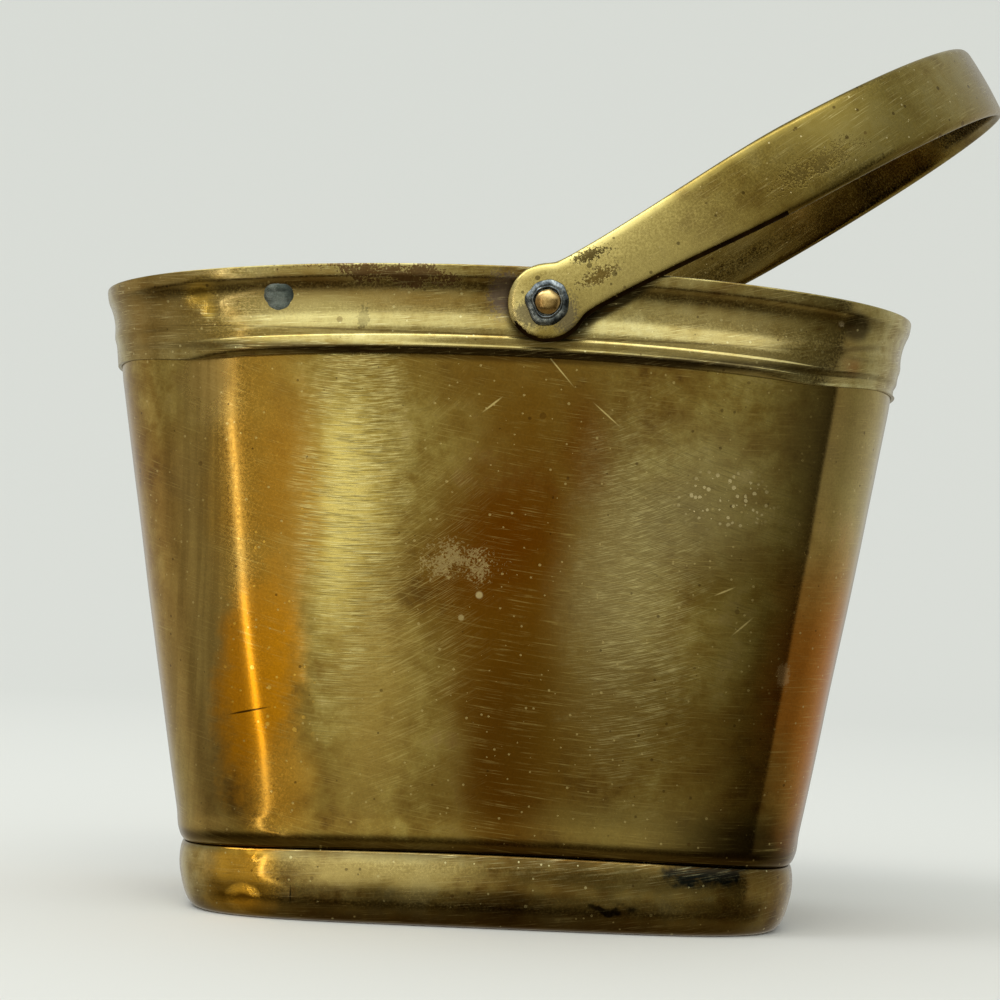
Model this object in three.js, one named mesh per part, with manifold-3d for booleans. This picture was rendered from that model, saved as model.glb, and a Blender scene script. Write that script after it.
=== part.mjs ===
// A small brass coal scuttle. A tapered sheet wall stands in a pressed base pan, a drawn
// moulding runs round its rim, and a strap bail swings on two rivets, one in each long side.
//
// Millimetres. +Z is up, X runs along the scuttle and Y across it. The origin is the middle
// of the flat underside.

import * as THREE from 'three';
import { mergeVertices } from 'three/addons/utils/BufferGeometryUtils.js';
import Module from 'manifold-3d';

const wasm = await Module();
wasm.setup();

// ---- Overall shape ----
const rimLength = 150; // outside of the rim moulding, end to end
const rimDepth = 92; // outside of the rim moulding, side to side
const rimHeight = 116; // rim above the table, at the middle of a long side
const rimDip = 4.4; // how much lower the rim is at its two ends
const dipOnset = 2.6; // how early the dip builds up on the way from the base to the moulding
const rimSquareness = 4.2; // 2 is an ellipse, and more is nearer to a rectangle
const baseLength = 108.8; // outside of the wall, carried down to the table
const baseDepth = 73.2;
const baseSquareness = 4.6;
const wallTaper = 0.922; // share of the taper below the moulding, past which the wall stands steeper

// ---- Sheets and joints ----
const wallSheet = 1;
const jointGap = 0.3; // left for solder between sheets that are joined
const runningGap = 0.3; // between a pivot and what turns on it

// ---- Rim moulding: flat back, a cove on its face and a bead along its foot ----
const mouldingHeight = 15.6;
const mouldingWeb = 1; // metal behind the deepest part of the cove
const coveDepth = 0.9;
const lipHeight = 1.5; // plain lip above the cove
const beadHeight = 3.4;
const beadProud = 0.15; // bead past the lip

// ---- Base pan: its band carries the wall on a stepped-in flange ----
const panSheet = 0.8;
const panBand = 13.2; // height of the band that shows
const panFlange = 4.2; // height of the flange that stands inside the wall
const panCorner = 3.2; // round where the band turns under
const panShoulder = 1.3; // round at the top of the band
const panProud = 0.8; // band past the wall's outline, at its foot
const panTopProud = 0.15; // and at its top
const wallTuck = 0.4; // how far the foot of the wall curls in towards the pan
const tuckHeight = 3.4;
const footGroove = 0.6; // open groove between wall and pan

// ---- Bail ----
const bailSheet = 2;
const bailEye = 13.8; // diameter of the round ends
const bailNeck = 10.6; // width just past the eyes
const bailShoulder = 14.4; // width where the arms begin to bend
const bailGrip = 14; // width at the top
const bailEdge = 0.75; // round along the edges
const bailArm = 45; // straight arm from the pivot to the start of the bow
const bailBow = 51; // rise of the bow past the straight arms
const bailLift = 31.6; // degrees above level, leaning to +X
const bailSwing = 0.5; // clear of the moulding on each side
const pivotOffset = 6.8; // pivots sit a little to the +X side of the middle
const pivotDrop = 6.4; // below the rim

// ---- Pivot hardware, the same on both sides ----
const pinDiameter = 3.2;
const pinTip = 4.4; // hammered-over outer end
const pinTipRise = 0.9;
const pinHead = 6.2; // formed head, inside the scuttle
const pinHeadRise = 1.5;
const washerDiameter = 7.8;
const washerSheet = 0.5;
const spacerDiameter = 6.6;
const burrDiameter = 8.4; // inner washer under the pin's head
const burrSheet = 1;

// ---- Fineness of the mesh ----
const outlineSteps = 84;
const roundSteps = 24;
const arcSteps = 3;
const bowSteps = 28;

// ---- Worked out from the sizes above ----
const lipOffset = jointGap + mouldingWeb + coveDepth;
const rimHalfLength = rimLength / 2 - lipOffset;
const rimHalfDepth = rimDepth / 2 - lipOffset;
const mouldingFoot = rimHeight - mouldingHeight;
const wallFoot = panBand + footGroove;
const pivotHeight = rimHeight - pivotDrop;
const holeRadius = pinDiameter / 2 + runningGap;
const bailInside = rimDepth / 2 + bailSwing; // inner face of an arm, from the middle plane
const bailMiddle = bailInside + bailSheet / 2;
const bailOutside = bailInside + bailSheet;

const brass = { color: 0x9c8238, roughness: 0.36, metalness: 1 };
const finishes = {
  wall: brass,
  moulding: { ...brass, color: 0xa68c42 },
  pan: { ...brass, color: 0x8d7735 },
  bail: { ...brass, color: 0x9a8440 },
  rivet: { color: 0xb07a4a, roughness: 0.32, metalness: 1 },
  steel: { color: 0x5f6063, roughness: 0.45, metalness: 1 },
};

// ---- The outline of the wall's outer face ----

// Half sizes and squareness of the outline at a height above the table.
function planAt(z) {
  const share = z / rimHeight;
  const onWall = (wallTaper * z) / mouldingFoot;
  const onMoulding = 1 - ((1 - wallTaper) * (rimHeight - z)) / mouldingHeight;
  const flared = Math.min(onWall, onMoulding);
  return {
    halfLength: THREE.MathUtils.lerp(baseLength / 2, rimHalfLength, flared),
    halfDepth: THREE.MathUtils.lerp(baseDepth / 2, rimHalfDepth, flared),
    squareness: THREE.MathUtils.lerp(baseSquareness, rimSquareness, share),
  };
}

// The point at a turn about the vertical, pushed outwards from the wall by an offset.
function outlinePoint(turn, z, offset) {
  const { halfLength, halfDepth, squareness } = planAt(z);
  const across = Math.cos(turn);
  const along = Math.sin(turn);
  const reach = (Math.abs(across) ** squareness + Math.abs(along) ** squareness) ** (-1 / squareness);
  const u = across * reach;
  const v = along * reach;
  const normal = new THREE.Vector2(
    (Math.sign(u) * Math.abs(u) ** (squareness - 1)) / halfLength,
    (Math.sign(v) * Math.abs(v) ** (squareness - 1)) / halfDepth,
  ).normalize();
  const belowMoulding = 1 - Math.min(1, Math.max(0, z) / mouldingFoot);
  const dip = rimDip * u * u * (1 - belowMoulding ** dipOnset);
  return [halfLength * u + normal.x * offset, halfDepth * v + normal.y * offset, z - dip];
}

// How far out the wall's outer face lies on a long side, above a point of the middle plane.
function wallFaceAt(x, z) {
  const { halfLength, halfDepth, squareness } = planAt(z);
  return halfDepth * (1 - Math.abs(x / halfLength) ** squareness) ** (1 / squareness);
}

// ---- Meshes ----

function geometryOf(points, faces) {
  const geometry = new THREE.BufferGeometry();
  geometry.setAttribute('position', new THREE.Float32BufferAttribute(points.flat(), 3));
  geometry.setIndex(faces.flat());
  return geometry;
}

// Carries a profile of [height, offset] round the outline. A ring's profile closes on itself,
// and a dish's profile is closed at both ends by a flat fan about the middle.
function carryRound(profile, isDish = false) {
  const points = [];
  const faces = [];
  for (const [z, offset] of profile) {
    for (let step = 0; step < outlineSteps; step++) {
      points.push(outlinePoint((step / outlineSteps) * Math.PI * 2, z, offset));
    }
  }
  const bands = isDish ? profile.length - 1 : profile.length;
  for (let band = 0; band < bands; band++) {
    const low = band * outlineSteps;
    const high = ((band + 1) % profile.length) * outlineSteps;
    for (let step = 0; step < outlineSteps; step++) {
      const next = (step + 1) % outlineSteps;
      faces.push([low + step, low + next, high + next], [low + step, high + next, high + step]);
    }
  }
  if (isDish) {
    const last = (profile.length - 1) * outlineSteps;
    const under = points.push([0, 0, profile[0][0]]) - 1;
    const over = points.push([0, 0, profile.at(-1)[0]]) - 1;
    for (let step = 0; step < outlineSteps; step++) {
      const next = (step + 1) % outlineSteps;
      faces.push([under, next, step], [over, last + step, last + next]);
    }
  }
  return geometryOf(points, faces);
}

// A quarter round in a profile, from one angle to another, in [height, offset].
function roundOff(height, offset, radius, from, to) {
  return Array.from({ length: arcSteps + 1 }, (_, step) => {
    const angle = THREE.MathUtils.degToRad(THREE.MathUtils.lerp(from, to, step / arcSteps));
    return [height + radius * Math.sin(angle), offset + radius * Math.cos(angle)];
  });
}

function solidOf(geometry) {
  const bare = geometry.clone();
  bare.deleteAttribute('normal');
  bare.deleteAttribute('uv');
  const merged = mergeVertices(bare, 1e-4);
  const index = merged.index.array;
  const kept = [];
  for (let face = 0; face < index.length; face += 3) {
    const [a, b, c] = index.slice(face, face + 3);
    if (a !== b && b !== c && c !== a) kept.push(a, b, c);
  }
  return new wasm.Manifold(new wasm.Mesh({
    numProp: 3,
    vertProperties: new Float32Array(merged.attributes.position.array),
    triVerts: new Uint32Array(kept),
  }));
}

function geometryFrom(solid) {
  const mesh = solid.getMesh();
  const geometry = new THREE.BufferGeometry();
  geometry.setAttribute('position', new THREE.BufferAttribute(mesh.vertProperties, 3));
  geometry.setIndex(new THREE.BufferAttribute(mesh.triVerts, 1));
  return geometry;
}

// A round piece whose profile of [radius, distance] runs out along +Y or -Y.
function turned(profile, side) {
  const geometry = new THREE.LatheGeometry(
    profile.map(([radius, distance]) => new THREE.Vector2(radius, distance)),
    roundSteps,
  );
  return geometry.rotateZ(side < 0 ? Math.PI : 0);
}

function tube(inner, outer, near, far, side) {
  return turned([[inner, near], [outer, near], [outer, far], [inner, far], [inner, near]], side);
}

// A rod through both long sides on the pivots' axis, used to drill them.
function pivotDrill() {
  const rod = new THREE.CylinderGeometry(holeRadius, holeRadius, 4 * bailOutside, roundSteps);
  return solidOf(rod.translate(pivotOffset, 0, pivotHeight));
}

function drilled(geometry) {
  return geometryFrom(solidOf(geometry).subtract(pivotDrill()));
}

// ---- Pieces ----

function bodyWall() {
  const foot = [wallFoot, -wallTuck];
  const heights = [0.33, 0.67, 1].map((share) => THREE.MathUtils.lerp(wallFoot + tuckHeight, mouldingFoot, share));
  const outer = [foot, [wallFoot + tuckHeight / 2, -wallTuck / 4], [wallFoot + tuckHeight, 0]];
  for (const z of heights) outer.push([z, 0]);
  outer.push([rimHeight, 0]);
  const inner = outer.map(([z, offset]) => [z, offset - wallSheet]).reverse();
  return drilled(carryRound([...outer, ...inner]));
}

// The moulding's profile, with its back held off the wall by a gap.
function mouldingProfile(backGap, skin = 0) {
  const lipFoot = rimHeight - lipHeight;
  const beadTop = mouldingFoot + beadHeight;
  const beadMiddle = mouldingFoot + beadHeight / 2;
  const face = [[mouldingFoot - skin, backGap + mouldingWeb / 2]];
  const beadSwell = lipOffset + beadProud;
  const bead = [0.25, 0.6, 0.85].map((share) => {
    const z = mouldingFoot + beadHeight * share;
    const fall = (z - beadMiddle) / (beadHeight / 2);
    return [z, beadSwell - (beadProud + coveDepth / 2) * fall * fall + skin];
  });
  const cove = [0, 0.12, 0.3, 0.5, 0.7, 0.88, 1].map((share) => {
    const hollow = coveDepth * Math.sin(Math.PI * share);
    return [THREE.MathUtils.lerp(beadTop, lipFoot, share), lipOffset - hollow + skin];
  });
  face.push(...bead, ...cove, [rimHeight - lipHeight / 4, lipOffset + skin], [rimHeight + skin, lipOffset - lipHeight / 4]);
  return [...face, [rimHeight + skin, backGap], [mouldingFoot - skin, backGap]];
}

function rimMoulding() {
  return drilled(carryRound(mouldingProfile(jointGap)));
}

function basePan() {
  const flangeFace = -wallSheet - jointGap - wallTuck;
  const flangeBack = flangeFace - panSheet;
  const outer = [
    ...roundOff(panCorner, panProud - panCorner, panCorner, -90, 0),
    ...roundOff(panBand - panShoulder, panTopProud - panShoulder, panShoulder, 0, 90),
    [panBand, flangeFace],
    [panBand + panFlange, flangeFace],
  ];
  const inner = [
    [panBand + panFlange, flangeBack],
    [panBand - panSheet, flangeBack],
    ...roundOff(panCorner, panProud - panCorner, panCorner - panSheet, -20, -90),
  ];
  return carryRound([...outer, ...inner], true);
}

// Half the strap's width at a distance along it from the middle of an eye.
function strapHalfWidth(distance, halfSpan) {
  const eye = bailEye / 2;
  const disc = Math.sqrt(Math.max(0, eye * eye - distance * distance));
  if (distance < 0) return disc;
  const toShoulder = THREE.MathUtils.smoothstep(distance, eye, bailArm + bailEye / 2);
  const toGrip = THREE.MathUtils.smoothstep(distance, bailArm + bailEye / 2, halfSpan);
  const strap = (bailNeck + (bailShoulder - bailNeck) * toShoulder + (bailGrip - bailShoulder) * toGrip) / 2;
  const softness = Math.min(1, distance / eye);
  return (disc + strap + Math.hypot(disc - strap, softness)) / 2;
}

// The middle line of the strap, from eye to eye, as [along the arm, across the scuttle].
function strapLine() {
  const line = [];
  const eye = bailEye / 2;
  for (const angle of [8, 20, 34, 50, 68, 90]) {
    line.push([-eye * Math.cos(THREE.MathUtils.degToRad(angle)), -bailMiddle]);
  }
  const armSteps = 14;
  for (let step = 1; step < armSteps; step++) line.push([(bailArm * step) / armSteps, -bailMiddle]);
  for (let step = 0; step <= bowSteps; step++) {
    const angle = (step / bowSteps) * Math.PI;
    line.push([bailArm + bailBow * Math.sin(angle), -bailMiddle * Math.cos(angle)]);
  }
  const mirrored = line.slice(0, -bowSteps - 1).map(([along, across]) => [along, -across]);
  return [...line, ...mirrored.reverse()];
}

// The strap's section as [across the strap, through it], each from -1 to 1 of its half size.
function strapSection(halfWidth) {
  const halfSheet = bailSheet / 2;
  const edge = Math.min(bailEdge, halfSheet * 0.9, halfWidth * 0.9);
  const section = [];
  for (const [x, y, from] of [[1, 1, 0], [-1, 1, 90], [-1, -1, 180], [1, -1, 270]]) {
    for (const turn of [0, 45, 90]) {
      const angle = THREE.MathUtils.degToRad(from + turn);
      section.push([
        x * (halfWidth - edge) + edge * Math.cos(angle),
        y * (halfSheet - edge) + edge * Math.sin(angle),
      ]);
    }
  }
  return section;
}

function bailStrap() {
  const line = strapLine();
  const lengths = [0];
  for (let i = 1; i < line.length; i++) {
    lengths.push(lengths[i - 1] + Math.hypot(line[i][0] - line[i - 1][0], line[i][1] - line[i - 1][1]));
  }
  const eyeAt = -line[0][0];
  const halfSpan = lengths.at(-1) / 2 - eyeAt;
  const points = [];
  const faces = [];
  let sides = 0;
  line.forEach(([along, across], i) => {
    const [fromAlong, fromAcross] = line[Math.max(0, i - 1)];
    const [toAlong, toAcross] = line[Math.min(line.length - 1, i + 1)];
    const tangent = new THREE.Vector2(toAlong - fromAlong, toAcross - fromAcross).normalize();
    const distance = Math.min(lengths[i], lengths.at(-1) - lengths[i]) - eyeAt;
    const section = strapSection(strapHalfWidth(distance, halfSpan));
    sides = section.length;
    for (const [wide, thick] of section) {
      points.push([along + tangent.y * thick, across - tangent.x * thick, wide]);
    }
  });
  for (let i = 0; i < line.length - 1; i++) {
    for (let side = 0; side < sides; side++) {
      const a = i * sides + side;
      const b = i * sides + ((side + 1) % sides);
      faces.push([a, b, b + sides], [a, b + sides, a + sides]);
    }
  }
  const last = (line.length - 1) * sides;
  for (let side = 1; side < sides - 1; side++) {
    faces.push([0, side + 1, side], [last, last + side, last + side + 1]);
  }
  const drill = new THREE.CylinderGeometry(holeRadius, holeRadius, 4 * bailOutside, roundSteps);
  return geometryFrom(solidOf(geometryOf(points, faces)).subtract(solidOf(drill)));
}

// The pin from its hammered tip outside the bail to its formed head inside the wall.
function pivotPin(side) {
  const tipSeat = bailOutside + runningGap + washerSheet + jointGap;
  const headSeat = burrInnerFace() - jointGap;
  const shank = pinDiameter / 2;
  const tip = [0, 0.35, 0.7].map((share) => [
    (pinTip / 2) * Math.sqrt(1 - share ** 4),
    tipSeat + jointGap + (pinTipRise - jointGap) * share,
  ]);
  const head = [0.75, 0.4, 0].map((share) => [
    (pinHead / 2) * Math.sqrt(1 - share ** 2),
    headSeat - pinHeadRise * share,
  ]);
  return turned([
    [0, headSeat - pinHeadRise],
    ...head,
    [shank, headSeat],
    [shank, tipSeat],
    [pinTip / 2, tipSeat],
    ...tip,
    [0, tipSeat + pinTipRise],
  ], side);
}

function pivotWasher(side) {
  const near = bailOutside + runningGap;
  return tube(holeRadius, washerDiameter / 2, near, near + washerSheet, side);
}

// Cut at its inner end to the face of the moulding.
function pivotSpacer(side) {
  const far = bailInside - runningGap;
  const near = wallFaceAt(pivotOffset, pivotHeight) - wallSheet;
  const blank = tube(holeRadius, spacerDiameter / 2, near, far, side).translate(pivotOffset, 0, pivotHeight);
  const saddle = carryRound(mouldingProfile(-wallSheet, jointGap));
  const parts = solidOf(blank).subtract(solidOf(saddle)).decompose();
  const outermost = parts.sort((a, b) => b.volume() - a.volume())[0];
  return geometryFrom(outermost).translate(-pivotOffset, 0, -pivotHeight);
}

// The inner face of the burr, flat, far enough in to keep its full thickness at its rim.
function burrInnerFace() {
  const lowest = wallFaceAt(pivotOffset + burrDiameter / 2, pivotHeight - burrDiameter / 2);
  return lowest - wallSheet - jointGap - burrSheet;
}

// Cut at its outer end to the inside of the wall.
function pivotBurr(side) {
  const near = burrInnerFace();
  const far = wallFaceAt(pivotOffset, pivotHeight);
  const blank = tube(holeRadius, burrDiameter / 2, near, far, side).translate(pivotOffset, 0, pivotHeight);
  const face = [-wallSheet - jointGap, spacerDiameter];
  const saddle = carryRound([
    [mouldingFoot, face[0]], [mouldingFoot, face[1]], [rimHeight, face[1]], [rimHeight, face[0]],
  ]);
  return geometryFrom(solidOf(blank).subtract(solidOf(saddle))).translate(-pivotOffset, 0, -pivotHeight);
}

// ---- Assembly ----

function piece(name, geometry, finish) {
  const mesh = new THREE.Mesh(geometry, new THREE.MeshStandardMaterial(finishes[finish]));
  mesh.name = name;
  return mesh;
}

const scuttle = new THREE.Group();
scuttle.add(
  piece('body_wall', bodyWall(), 'wall'),
  piece('rim_moulding', rimMoulding(), 'moulding'),
  piece('base_pan', basePan(), 'pan'),
);

const pivotAxis = new THREE.Group();
pivotAxis.position.set(pivotOffset, 0, pivotHeight);
scuttle.add(pivotAxis);
for (const [place, side] of [['near', -1], ['far', 1]]) {
  pivotAxis.add(
    piece(`pivot_pin_${place}`, pivotPin(side), 'rivet'),
    piece(`pivot_washer_${place}`, pivotWasher(side), 'steel'),
    piece(`pivot_spacer_${place}`, pivotSpacer(side), 'wall'),
    piece(`pivot_burr_${place}`, pivotBurr(side), 'wall'),
  );
}

const swing = new THREE.Group();
swing.rotation.y = -THREE.MathUtils.degToRad(bailLift);
swing.add(piece('bail', bailStrap(), 'bail'));
pivotAxis.add(swing);

export default scuttle;
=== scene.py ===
import math
import bpy
import bmesh
from mathutils import Matrix, Vector, noise


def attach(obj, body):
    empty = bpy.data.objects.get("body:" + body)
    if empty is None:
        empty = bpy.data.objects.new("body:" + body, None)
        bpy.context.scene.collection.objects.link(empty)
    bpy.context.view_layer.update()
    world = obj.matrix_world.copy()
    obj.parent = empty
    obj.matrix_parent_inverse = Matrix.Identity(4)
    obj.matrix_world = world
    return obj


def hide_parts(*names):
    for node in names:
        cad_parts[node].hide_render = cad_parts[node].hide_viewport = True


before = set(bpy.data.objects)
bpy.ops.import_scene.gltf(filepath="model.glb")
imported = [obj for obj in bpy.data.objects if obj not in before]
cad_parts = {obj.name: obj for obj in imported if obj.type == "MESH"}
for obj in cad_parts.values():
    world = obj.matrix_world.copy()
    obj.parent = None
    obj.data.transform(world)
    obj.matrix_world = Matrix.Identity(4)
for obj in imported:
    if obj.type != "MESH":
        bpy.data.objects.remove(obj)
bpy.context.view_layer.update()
mm = 0.001
print("frame loaded")


def hexColour(text):
    # sRGB hex to the linear values that the nodes take
    parts = [int(text[i:i + 2], 16) / 255 for i in (1, 3, 5)]
    return [p / 12.92 if p <= 0.04045 else ((p + 0.055) / 1.055) ** 2.4 for p in parts] + [1.0]


def addNode(tree, kind, inputs=(), stops=(), **settings):
    # inputs are values, sockets or nodes, by name or in order; stops are for a colour ramp
    node = tree.nodes.new(kind)
    for name, value in settings.items():
        setattr(node, name, value)
    for key, value in (inputs.items() if isinstance(inputs, dict) else enumerate(inputs)):
        if isinstance(value, bpy.types.Node):
            value = value.outputs[0]
        if isinstance(value, bpy.types.NodeSocket):
            tree.links.new(value, node.inputs[key])
        else:
            node.inputs[key].default_value = value
    if stops:  # a new ramp has a first and a last stop already
        ends = node.color_ramp.elements
        ends[0].position, ends[0].color = stops[0]
        ends[1].position, ends[1].color = stops[-1]
        for spot, colour in stops[1:-1]:
            ends.new(spot).color = colour
    return node


# plan of the scuttle: a squarish oval that grows from base to rim

plan = {  # millimetres
    "rimLength": 150, "rimDepth": 92, "rimHeight": 116,
    "rimDip": 4.4, "dipOnset": 2.6, "rimSquareness": 4.2,
    "baseLength": 108.8, "baseDepth": 73.2, "baseSquareness": 4.6,
    "wallTaper": 0.922, "lipOffset": 2.2, "mouldingHeight": 15.6,
    "bulgeSize": 34,  # from one soft dent to the next
}
rimHalfLength = plan["rimLength"] / 2 - plan["lipOffset"]
rimHalfDepth = plan["rimDepth"] / 2 - plan["lipOffset"]
mouldingFoot = plan["rimHeight"] - plan["mouldingHeight"]


def planAt(z):
    share = z / plan["rimHeight"]
    onMoulding = 1 - (1 - plan["wallTaper"]) * (plan["rimHeight"] - z) / plan["mouldingHeight"]
    flared = min(plan["wallTaper"] * z / mouldingFoot, onMoulding)
    halfLength = plan["baseLength"] / 2 * (1 - flared) + rimHalfLength * flared
    halfDepth = plan["baseDepth"] / 2 * (1 - flared) + rimHalfDepth * flared
    squareness = plan["baseSquareness"] * (1 - share) + plan["rimSquareness"] * share
    return halfLength, halfDepth, squareness


def wallFaceAt(x, z):
    halfLength, halfDepth, squareness = planAt(z)
    return halfDepth * (1 - abs(x / halfLength) ** squareness) ** (1 / squareness)


def buildCarriedTree():
    # carries a profile, held as points of (offset, share, height), round the plan
    tree = bpy.data.node_groups.new("carriedProfile", "GeometryNodeTree")
    sizes = ("rimHalfLength", "rimHalfDepth", "rimHeight", "rimSquareness",
             "baseHalfLength", "baseHalfDepth", "baseSquareness", "wallTaper",
             "rimDip", "dipOnset", "mouldingFoot", "bulge", "bulgeScale", "bulgeSeed")
    for label, kind in [("profile", "Object"), ("columns", "Int"), ("rows", "Int"), ("finish", "Material")] + [
            (size, "Float") for size in sizes]:
        tree.interface.new_socket(label, in_out="INPUT", socket_type="NodeSocket" + kind)
    tree.interface.new_socket("Geometry", in_out="OUTPUT", socket_type="NodeSocketGeometry")
    given = addNode(tree, "NodeGroupInput").outputs
    values = {socket.name: socket for socket in given if socket.name}

    def work(*steps):
        for name, operation, *terms in steps:
            values[name] = addNode(tree, "ShaderNodeMath", [values.get(term, term) for term in terms],
                                   operation=operation).outputs[0]

    where = addNode(tree, "GeometryNodeInputPosition")
    spot = addNode(tree, "ShaderNodeSeparateXYZ", [where]).outputs
    values.update(spotX=spot["X"], spotY=spot["Y"])
    work(("lines", "ADD", "columns", 1.0),
         ("lastRow", "SUBTRACT", "rows", 1.0),
         ("rowShare", "ADD", "spotY", 0.5),
         ("rowPlace", "MULTIPLY", "rowShare", "lastRow"),
         ("row", "ROUND", "rowPlace"),
         ("turnShare", "ADD", "spotX", 0.5),
         ("turn", "MULTIPLY", "turnShare", math.tau))
    sheet = addNode(tree, "GeometryNodeMeshGrid",
                    {"Size X": 1.0, "Size Y": 1.0, "Vertices X": values["lines"], "Vertices Y": given["rows"]})
    source = addNode(tree, "GeometryNodeObjectInfo", [given["profile"]], transform_space="ORIGINAL")
    picked = addNode(tree, "GeometryNodeSampleIndex",
                     {"Geometry": source.outputs["Geometry"], "Value": where, "Index": values["row"]},
                     data_type="FLOAT_VECTOR", domain="POINT")
    point = addNode(tree, "ShaderNodeSeparateXYZ", [picked]).outputs
    values.update(offset=point["X"], share=point["Y"], height=point["Z"])
    # the wall stands steeper behind the moulding
    values["onMoulding"] = addNode(tree, "ShaderNodeMapRange",
                                   {"Value": point["Z"], "From Min": given["mouldingFoot"],
                                    "From Max": given["rimHeight"], "To Min": given["wallTaper"],
                                    "To Max": 1.0}, clamp=False).outputs[0]
    work(("heightShare", "DIVIDE", "height", "rimHeight"),
         ("climb", "DIVIDE", "height", "mouldingFoot"),
         ("onWall", "MULTIPLY", "climb", "wallTaper"),
         ("flared", "MINIMUM", "onWall", "onMoulding"))
    for name, factor, low, high in (
            ("halfLength", "flared", "baseHalfLength", "rimHalfLength"),
            ("halfDepth", "flared", "baseHalfDepth", "rimHalfDepth"),
            ("squareness", "heightShare", "baseSquareness", "rimSquareness")):
        values[name] = addNode(tree, "ShaderNodeMix", {0: values[factor], 2: values[low], 3: values[high]},
                               data_type="FLOAT", clamp_factor=False).outputs[0]
    # a superellipse, its outline and the direction that it faces, along X and Y in turn
    for way, operation in (("x", "COSINE"), ("y", "SINE")):
        work((way + "Turn", operation, "turn"),
             (way + "Size", "ABSOLUTE", way + "Turn"),
             (way + "Power", "POWER", way + "Size", "squareness"))
    work(("powers", "ADD", "xPower", "yPower"),
         ("root", "DIVIDE", -1.0, "squareness"),
         ("reach", "POWER", "powers", "root"),
         ("steepness", "SUBTRACT", "squareness", 1.0))
    for way, half in (("x", "halfLength"), ("y", "halfDepth")):
        work((way + "Unit", "MULTIPLY", way + "Turn", "reach"),
             (way + "UnitSize", "ABSOLUTE", way + "Unit"),
             (way + "Steep", "POWER", way + "UnitSize", "steepness"),
             (way + "Sign", "SIGN", way + "Unit"),
             (way + "Slope", "MULTIPLY", way + "Steep", way + "Sign"),
             (way + "Normal", "DIVIDE", way + "Slope", half),
             (way + "NormalSquare", "MULTIPLY", way + "Normal", way + "Normal"),
             (way + "Outline", "MULTIPLY", half, way + "Unit"))
    onWall = addNode(tree, "ShaderNodeCombineXYZ", [values["xOutline"], values["yOutline"], values["height"]])
    values["wander"] = addNode(tree, "ShaderNodeTexNoise",
                               {"Vector": onWall, "W": given["bulgeSeed"], "Scale": given["bulgeScale"],
                                "Detail": 1.5}, noise_dimensions="4D").outputs[0]
    values["climbShare"] = addNode(tree, "ShaderNodeClamp", [values["climb"]]).outputs[0]
    work(("belowMoulding", "SUBTRACT", 1.0, "climbShare"),
         ("belowPower", "POWER", "belowMoulding", "dipOnset"),
         ("dipShare", "SUBTRACT", 1.0, "belowPower"),
         ("acrossSquare", "MULTIPLY", "xUnit", "xUnit"),
         ("dipEnd", "MULTIPLY", "rimDip", "dipShare"),
         ("dipHere", "MULTIPLY", "dipEnd", "acrossSquare"),
         ("dip", "MULTIPLY", "dipHere", "share"),
         ("zPlace", "SUBTRACT", "height", "dip"),
         ("normalSquare", "ADD", "xNormalSquare", "yNormalSquare"),
         ("normalLength", "SQRT", "normalSquare"),
         ("wanderEven", "SUBTRACT", "wander", 0.5),
         ("pushed", "MULTIPLY_ADD", "wanderEven", "bulge", "offset"),
         ("pushShare", "DIVIDE", "pushed", "normalLength"))
    for way in "xy":
        work((way + "Full", "MULTIPLY_ADD", way + "Normal", "pushShare", way + "Outline"),
             (way + "Place", "MULTIPLY", way + "Full", "share"))
    place = addNode(tree, "ShaderNodeCombineXYZ", [values[way + "Place"] for way in "xyz"])
    marked = addNode(tree, "GeometryNodeStoreNamedAttribute",
                     {"Geometry": sheet, "Name": "lay", "Value": picked},
                     data_type="FLOAT_VECTOR", domain="POINT")
    moved = addNode(tree, "GeometryNodeSetPosition", {"Geometry": marked, "Position": place})
    joined = addNode(tree, "GeometryNodeMergeByDistance", {"Geometry": moved, "Distance": 1e-6})
    smooth = addNode(tree, "GeometryNodeSetShadeSmooth", {"Geometry": joined})
    real = addNode(tree, "GeometryNodeRealizeInstances", {"Geometry": smooth})
    done = addNode(tree, "GeometryNodeSetMaterial", {"Geometry": real, "Material": given["finish"]})
    addNode(tree, "NodeGroupOutput", [done])
    return tree


carriedTree = buildCarriedTree()


def softProfile(corners, closed=True, longest=1.6):
    # corners of (offset, height, radius) to a fine line of (offset, height)
    line = []
    for i, (offset, height, radius) in enumerate(corners):
        here = Vector((offset, height))
        if radius == 0 or (not closed and i in (0, len(corners) - 1)):
            line.append(here)
            continue
        before = Vector(corners[i - 1][:2]) - here
        after = Vector(corners[(i + 1) % len(corners)][:2]) - here
        reach = min(radius / math.tan(before.angle(after) / 2), 0.48 * before.length, 0.48 * after.length)
        start = here + before.normalized() * reach
        end = here + after.normalized() * reach
        for step in range(6):
            t = step / 5
            line.append(start * (1 - t) ** 2 + here * 2 * t * (1 - t) + end * t ** 2)
    if closed:
        line.append(line[0])
    fine = [line[0]]
    for a, b in zip(line, line[1:]):
        parts = max(1, math.ceil((b - a).length / longest))
        fine += [a.lerp(b, (part + 1) / parts) for part in range(parts)]
    return [tuple(point) for point in fine]


def curvedProfile(corners, steps=6):
    # an even curve of (offset, height) through every corner
    line = []
    for i in range(len(corners) - 1):
        a, b, c, d = [Vector(corners[min(max(0, i + k), len(corners) - 1)]) for k in (-1, 0, 1, 2)]
        for step in range(steps):
            t = step / steps
            line.append(b + (c - a) * t / 2 + (a * 2 - b * 5 + c * 4 - d) * t * t / 2
                        + (b * 3 - a - c * 3 + d) * t ** 3 / 2)
    return [tuple(point) for point in line] + [tuple(corners[-1])]


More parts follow.
